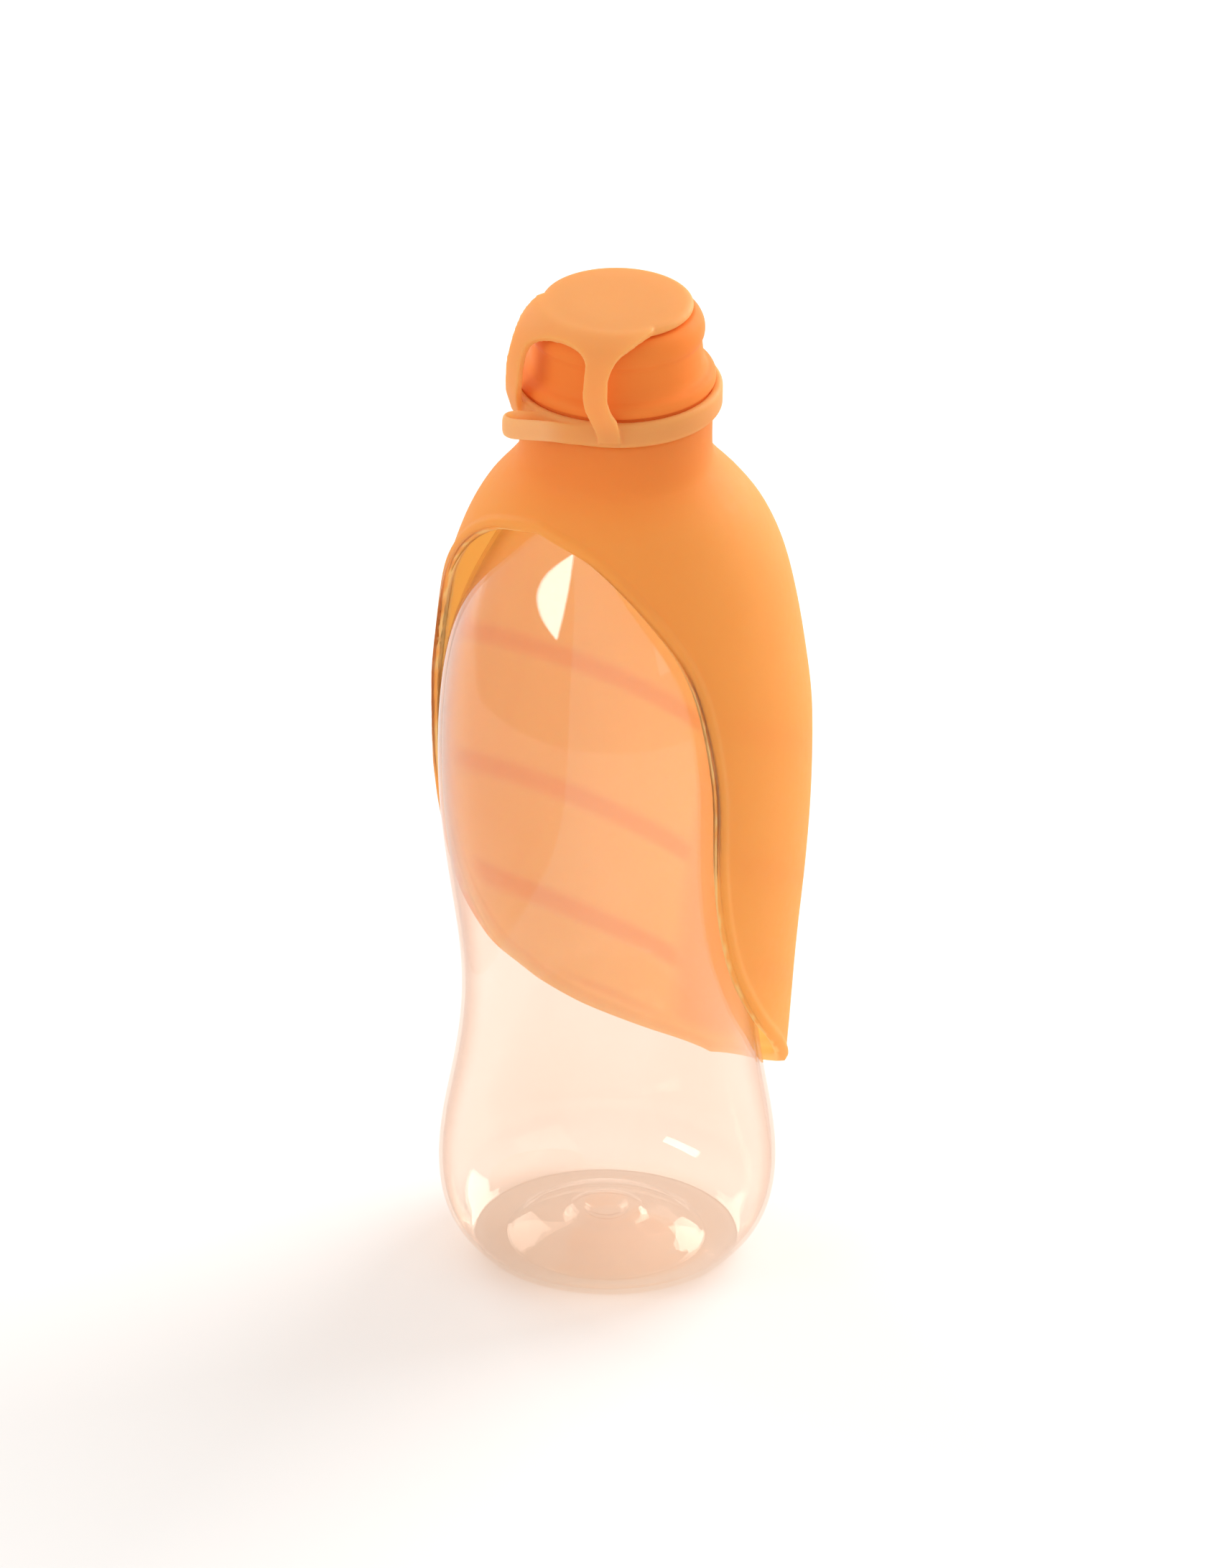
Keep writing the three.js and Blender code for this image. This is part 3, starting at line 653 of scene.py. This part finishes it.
# The painted light that makes the thin hang loop paler, as if lit through, is full in front of LOOP_FRONT
# and below LOOP_LOW, and gone behind LOOP_BACK and above LOOP_HIGH. LOOP_FRONT and LOOP_BACK are Y in the row
# frame, and the others are heights.
LOOP_FRONT, LOOP_BACK = -33.5, -30.5
LOOP_LOW, LOOP_HIGH = 228.5, 230.5
BASE_LIGHTENED_BELOW, WALL_TINTED = 2.0, 12.0  # heights between which the nearly untinted base, left untinted as painted light against the floor's shadow seen through it, turns to tinted wall


def linear(hex_colour):
    """A linear RGBA colour from a display colour such as "f79b50"."""
    values = [int(hex_colour[i : i + 2], 16) / 255 for i in (0, 2, 4)]
    return (*[v / 12.92 if v <= 0.04045 else ((v + 0.055) / 1.055) ** 2.4 for v in values], 1)


class Surface:
    """A node material that starts with a Principled shader, and short ways to add nodes to it."""

    def __init__(self, name):
        self.material = bpy.data.materials.new(name)
        self.material.use_nodes = True
        self.tree = self.material.node_tree
        self.nodes, self.links = self.tree.nodes, self.tree.links
        self.shader = self.nodes["Principled BSDF"]
        self.output = self.nodes["Material Output"]
        self.place = self.nodes.new("ShaderNodeTexCoord").outputs["Object"]

    def set(self, **values):
        for key, value in values.items():
            self.shader.inputs[key.replace("_", " ")].default_value = value

    def link(self, source, target):
        self.links.new(source, target)

    def noise(self, scale, detail=3.0, roughness=0.5, stretch=(1, 1, 1)):
        mapping = self.nodes.new("ShaderNodeMapping")
        mapping.inputs["Scale"].default_value = stretch
        self.link(self.place, mapping.inputs["Vector"])
        texture = self.nodes.new("ShaderNodeTexNoise")
        texture.inputs["Scale"].default_value = scale
        texture.inputs["Detail"].default_value = detail
        texture.inputs["Roughness"].default_value = roughness
        self.link(mapping.outputs["Vector"], texture.inputs["Vector"])
        return texture.outputs["Fac"]

    def span(self, source, from_low, from_high, to_low, to_high, smooth=False):
        node = self.nodes.new("ShaderNodeMapRange")
        node.interpolation_type = "SMOOTHSTEP" if smooth else "LINEAR"
        node.inputs["From Min"].default_value = from_low
        node.inputs["From Max"].default_value = from_high
        node.inputs["To Min"].default_value = to_low
        node.inputs["To Max"].default_value = to_high
        self.link(source, node.inputs["Value"])
        return node.outputs["Result"]

    def mix(self, share, first, second):
        """A colour between two, each a hex colour or a socket."""
        node = self.nodes.new("ShaderNodeMix")
        node.data_type = "RGBA"
        for value, socket in ((first, node.inputs[6]), (second, node.inputs[7])):
            if isinstance(value, str):
                socket.default_value = linear(value)
            else:
                self.link(value, socket)
        self.link(share, node.inputs[0])
        return node.outputs[2]

    def blend_shaders(self, share, first, second):
        """Two shaders in one, with a share of the second that is a number or a socket."""
        node = self.nodes.new("ShaderNodeMixShader")
        if isinstance(share, float):
            node.inputs["Fac"].default_value = share
        else:
            self.link(share, node.inputs["Fac"])
        self.link(first, node.inputs[1])
        self.link(second, node.inputs[2])
        return node.outputs["Shader"]

    def math(self, operation, first, second):
        """A sum, power or other result, held between 0 and 1; second is a socket or a number."""
        node = self.nodes.new("ShaderNodeMath")
        node.operation = operation
        node.use_clamp = True
        self.link(first, node.inputs[0])
        if isinstance(second, float):
            node.inputs[1].default_value = second
        else:
            self.link(second, node.inputs[1])
        return node.outputs["Value"]

    def along(self, axis):
        """The position on one of the frame's axes, in metres."""
        split = self.nodes.new("ShaderNodeSeparateXYZ")
        self.link(self.place, split.inputs["Vector"])
        return split.outputs[axis]

    def attribute(self, name):
        node = self.nodes.new("ShaderNodeAttribute")
        node.attribute_name = name
        return node.outputs["Fac"]

    def bump(self, source, strength, distance, previous=None):
        node = self.nodes.new("ShaderNodeBump")
        node.inputs["Strength"].default_value = strength
        node.inputs["Distance"].default_value = distance
        self.link(source, node.inputs["Height"])
        if previous is not None:
            self.link(previous, node.inputs["Normal"])
        return node.outputs["Normal"]


def silicone(name, lit, deep, glow, thin_share):
    """Matte moulded silicone, mottled from lit to deep. It passes light from behind in the colour glow."""
    s = Surface(name)
    s.set(IOR=1.41, Subsurface_Weight=0.5, Subsurface_Scale=0.006)
    s.shader.inputs["Specular IOR Level"].default_value = 0.3
    s.shader.inputs["Subsurface Radius"].default_value = (1.0, 0.6, 0.35)
    mottle = s.span(s.noise(38, 4, 0.6), 0.35, 0.7, 0, 0.35)
    colour = s.mix(mottle, lit, deep)
    s.link(colour, s.shader.inputs["Base Color"])
    s.link(s.span(s.noise(420, 3), 0.3, 0.7, 0.46, 0.6), s.shader.inputs["Roughness"])
    grain = s.bump(s.noise(2600, 2, 0.6), 0.12, 0.00006)
    s.link(s.bump(s.noise(90, 3, 0.5), 0.1, 0.0004, grain), s.shader.inputs["Normal"])
    translucent = s.nodes.new("ShaderNodeBsdfTranslucent")
    translucent.inputs["Color"].default_value = linear(glow)
    both = s.blend_shaders(thin_share, s.shader.outputs["BSDF"], translucent.outputs["BSDF"])
    s.link(both, s.output.inputs["Surface"])
    return s


def leaf_material():
    """The leaf's silicone, made paler on its inner face by painted light, as if lit through from behind, with
    less of that painted light where its veins stand out thick, and deepened towards the neck by painted
    shade.
    """
    s = silicone("leaf_silicone_look", "f6aa5f", "f3a053", "ffdf9e", 0.5)
    base = s.shader.inputs["Base Color"]
    lit = base.links[0].from_socket
    # Painted light: the inner face is painted paler, as if lit through the silicone from behind; on the veins
    # the deeper colour takes back part of that painted light.
    inside = s.mix(s.span(s.attribute(INNER_ATTRIBUTE), 0, 1, 0, 0.95), lit, "f9e5a0")
    where_thick = s.mix(s.span(s.attribute(VEIN_ATTRIBUTE), 0, 1, 0, 0.9), inside, "f3ab54")
    # Painted shade: the leaf deepens towards its neck, where the cap shades it and the barrel behind it stops
    # light coming through.
    painted_neck_shade = s.span(s.along("Z"), NECK_SHADE_FROM * MM, NECK_SHADE_TO * MM, 0, 0.9, smooth=True)
    s.link(s.mix(painted_neck_shade, where_thick, "ff9f50"), base)
    return s.material


def lid_material():
    """The lid's silicone, made paler by painted light where only the thin hang loop stands in front of the
    ring, as if lit through.
    """
    s = silicone("lid_silicone_look", "fbb76f", "f7ae63", "ffd595", 0.4)
    base = s.shader.inputs["Base Color"]
    lit = base.links[0].from_socket
    # Painted light: the thin hang loop is painted paler where it stands clear in front of the ring, as if
    # light came through it.
    loop_glow_in_front = s.span(s.along("Y"), LOOP_FRONT * MM, LOOP_BACK * MM, 1, 0, smooth=True)
    low = s.span(s.along("Z"), LOOP_LOW * MM, LOOP_HIGH * MM, 0.8, 0, smooth=True)
    s.link(s.mix(s.math("MULTIPLY", loop_glow_in_front, low), lit, "fdcf98"), base)
    return s.material


def gasket_material():
    return silicone("gasket_silicone_look", "f4ece2", "eadfd2", "fff4e8", 0.15).material


def cap_material():
    s = Surface("cap_plastic_look")
    s.set(IOR=1.5, Subsurface_Weight=0.1, Subsurface_Scale=0.002)
    s.shader.inputs["Specular IOR Level"].default_value = 0.05
    mottle = s.span(s.noise(60, 4, 0.6), 0.3, 0.75, 0, 0.4)
    s.link(s.mix(mottle, "f0853b", "ea7c34"), s.shader.inputs["Base Color"])
    s.link(s.span(s.noise(300, 3), 0.3, 0.7, 0.48, 0.6), s.shader.inputs["Roughness"])
    s.link(s.bump(s.noise(1800, 2, 0.6), 0.1, 0.00005), s.shader.inputs["Normal"])
    return s.material


def bottle_material():
    """Thin clear plastic, a little milky. It tints what is behind it, more where it is seen edge on and
    hardly at the base, where painted light lightens the shadow seen through it, and mirrors its surroundings."""
    s = Surface("clear_bottle_look")
    s.nodes.remove(s.shader)
    facing = s.nodes.new("ShaderNodeLayerWeight")
    facing.inputs["Blend"].default_value = 0.5
    wall = s.span(s.noise(26, 3, 0.5, (1, 1, 0.5)), 0.35, 0.65, 0, 0.06)
    slow = s.bump(s.noise(30, 2, 0.4, (1, 1, 0.6)), 0.05, 0.00015)
    s.link(slow, facing.inputs["Normal"])
    edge_on = s.span(facing.outputs["Facing"], 0.55, 1.0, 0, 0.8, smooth=True)
    wall_tint = s.mix(s.math("ADD", edge_on, wall), "fdf8f4", "e9cdb6")
    # Painted light: the tint is left out near the base to lighten the floor's shadow seen through it.
    painted_base_light = s.span(s.along("Z"), BASE_LIGHTENED_BELOW * MM, WALL_TINTED * MM, 0.8, 0, smooth=True)
    tint = s.mix(painted_base_light, wall_tint, "fffdfa")
    clear = s.nodes.new("ShaderNodeBsdfTransparent")
    s.link(tint, clear.inputs["Color"])
    gloss = s.nodes.new("ShaderNodeBsdfGlossy")
    gloss.inputs["Color"].default_value = (1, 1, 1, 1)
    gloss.inputs["Roughness"].default_value = 0.03
    s.link(slow, gloss.inputs["Normal"])
    haze = s.nodes.new("ShaderNodeBsdfDiffuse")
    haze.inputs["Color"].default_value = linear("fff6ec")
    milky = s.blend_shaders(BOTTLE_MILKINESS, clear.outputs["BSDF"], haze.outputs["BSDF"])
    grazing = s.math("POWER", facing.outputs["Facing"], 5.0)
    mirrored = s.span(grazing, 0, 1, BOTTLE_GLOSS_FACING, BOTTLE_GLOSS_EDGE_ON)
    s.link(s.blend_shaders(mirrored, milky, gloss.outputs["BSDF"]), s.output.inputs["Surface"])
    return s.material


# ---------- pieces on their bodies ----------


def fold_plane_normal():
    return Vector((0, -LEAF_CUT_SLOPE, 1)).normalized()


def in_row_frame(point):
    return (point + Vector((0, AXIS_Y, 0))) * MM


def place(piece, body, material, slot, *nodes):
    """Gives the piece its material, and its body unless it bends between two. The slot argument is not used.
    """
    piece.data.materials.clear()
    piece.data.materials.append(material)
    if body is not None:
        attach(piece, body)
    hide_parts(*nodes)
    return piece


def keep_below_still(piece, low, high):
    """Fades a blended piece's second body out between two heights. What lies below stays with the first."""
    weights = piece.data.attributes["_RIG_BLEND"].data
    heights = np.array([vertex.co.z for vertex in piece.data.vertices]) / MM
    values = np.empty(len(weights))
    weights.foreach_get("value", values)
    weights.foreach_set("value", values * smoothstep(low, high, heights))


place(bottle_shell(), "bottle", bottle_material(), "clear_bottle", "bottle_body")
place(cap_shell(), "cap", cap_material(), "cap_plastic", "screw_cap")
place(seal_ring(), "gasket", gasket_material(), "gasket_silicone", "cap_gasket")

lid = place(lid_skin(), None, lid_material(), "lid_silicone", "lid_tether", "lid_disc")
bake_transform(lid, "tether", "lid", start=in_row_frame(LID_FOLD_START), end=in_row_frame(LID_FOLD_END))
keep_below_still(lid, LEGS_LOW, LEGS_HIGH)

leaf = place(leaf_skin(), None, leaf_material(), "leaf_silicone", "leaf_collar", "leaf_blade")
fold_start = LEAF_HINGE + fold_plane_normal() * BEND_ABOVE
fold_end = LEAF_HINGE - fold_plane_normal() * BEND_BELOW
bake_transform(leaf, "leaf_sleeve", "leaf_flap", start=in_row_frame(fold_start), end=in_row_frame(fold_end))


# ---------- stage, light and camera ----------

FLOOR_FRONT = 0.63  # how far the pale floor reaches towards the camera
FLOOR_BACK = 2.4
# Name, azimuth, elevation, distance, width, height and power of each soft lamp.
SOFTBOXES = [
    ("key", -22, 24, 1.6, 0.8, 0.24, 5),
    ("fill", 90, 30, 2.0, 1.4, 1.4, 4),
    ("left", -104, 22, 2.0, 1.2, 1.2, 13),
    ("back", 172, 22, 2.0, 1.6, 1.4, 44),
]


def pale_floor():
    """A pale disc under the object. It reaches further behind it than towards the camera."""
    points, count = [(0, 0, 0)], 96
    for step in range(count):
        turn = step * TAU / count
        behind = smoothstep(math.radians(95), math.radians(140), abs((turn + math.pi) % TAU - math.pi))
        reach = FLOOR_FRONT + (FLOOR_BACK - FLOOR_FRONT) * float(behind)
        angle = CAMERA_AZIMUTH + turn
        points.append((reach * math.sin(angle), -reach * math.cos(angle), 0))
    faces = [(0, 1 + i, 1 + (i + 1) % count) for i in range(count)]
    mesh = bpy.data.meshes.new("floor")
    mesh.from_pydata(points, [], faces)
    floor = bpy.data.objects.new("floor", mesh)
    bpy.context.scene.collection.objects.link(floor)
    s = Surface("floor_look")
    s.set(Roughness=0.9)
    s.link(s.mix(s.span(s.noise(3, 2), 0.3, 0.7, 0, 1), "efedeb", "eceae8"), s.shader.inputs["Base Color"])
    mesh.materials.append(s.material)


def softbox(name, azimuth, elevation, distance, width, height, power):
    """A rectangular lamp round the object, aimed at its middle.
    Its angles are in degrees, its lengths in metres and its power in watts."""
    lamp = bpy.data.lights.new(name, "AREA")
    lamp.shape = "RECTANGLE"
    lamp.size, lamp.size_y, lamp.energy = width, height, power
    a, e = math.radians(azimuth), math.radians(elevation)
    away = Vector((math.sin(a) * math.cos(e), -math.cos(a) * math.cos(e), math.sin(e)))
    lamp_object = bpy.data.objects.new(name, lamp)
    lamp_object.location = Vector((0, 0, 0.15)) + away * distance
    lamp_object.rotation_mode = "QUATERNION"
    lamp_object.rotation_quaternion = (-away).to_track_quat("-Z", "Y")
    bpy.context.scene.collection.objects.link(lamp_object)


def studio():
    """Even light from all round, a white backdrop for the camera, and the soft lamps."""
    world = bpy.data.worlds.new("studio")
    world.use_nodes = True
    bpy.context.scene.world = world
    nodes, links = world.node_tree.nodes, world.node_tree.links
    surroundings = nodes["Background"]
    surroundings.inputs["Color"].default_value = (1, 0.985, 0.965, 1)
    surroundings.inputs["Strength"].default_value = 0.75
    backdrop = nodes.new("ShaderNodeBackground")
    backdrop.inputs["Color"].default_value = (1, 1, 1, 1)
    backdrop.inputs["Strength"].default_value = 1.0
    seen = nodes.new("ShaderNodeLightPath").outputs["Is Camera Ray"]
    both = nodes.new("ShaderNodeMixShader")
    links.new(seen, both.inputs["Fac"])
    links.new(surroundings.outputs["Background"], both.inputs[1])
    links.new(backdrop.outputs["Background"], both.inputs[2])
    links.new(both.outputs["Shader"], nodes["World Output"].inputs["Surface"])
    for lamp in SOFTBOXES:
        softbox(*lamp)
    bpy.context.scene.view_settings.view_transform = "Standard"
    bpy.context.scene.cycles.transparent_max_bounces = 24


def camera():
    a, e = CAMERA_AZIMUTH, CAMERA_ELEVATION
    back = Vector((math.sin(a) * math.cos(e), -math.cos(a) * math.cos(e), math.sin(e)))
    right = Vector((math.cos(a), math.sin(a), 0))
    up = back.cross(right)
    rolled_right = right * math.cos(CAMERA_ROLL) + up * math.sin(CAMERA_ROLL)
    rolled_up = up * math.cos(CAMERA_ROLL) - right * math.sin(CAMERA_ROLL)
    aim = Vector((0, AXIS_Y * MM, CAMERA_AIM_HEIGHT)) - right * CAMERA_AIM_LEFT
    data = bpy.data.cameras.new("camera")
    data.lens = CAMERA_LENS
    data.clip_start, data.clip_end = 0.1, 100
    eye = bpy.data.objects.new("camera", data)
    rotation = Matrix((rolled_right, rolled_up, back)).transposed()
    eye.matrix_world = Matrix.Translation(aim + back * CAMERA_DISTANCE) @ rotation.to_4x4()
    bpy.context.scene.collection.objects.link(eye)
    bpy.context.scene.camera = eye


pale_floor()
studio()
camera()

bpy.context.view_layer.update()
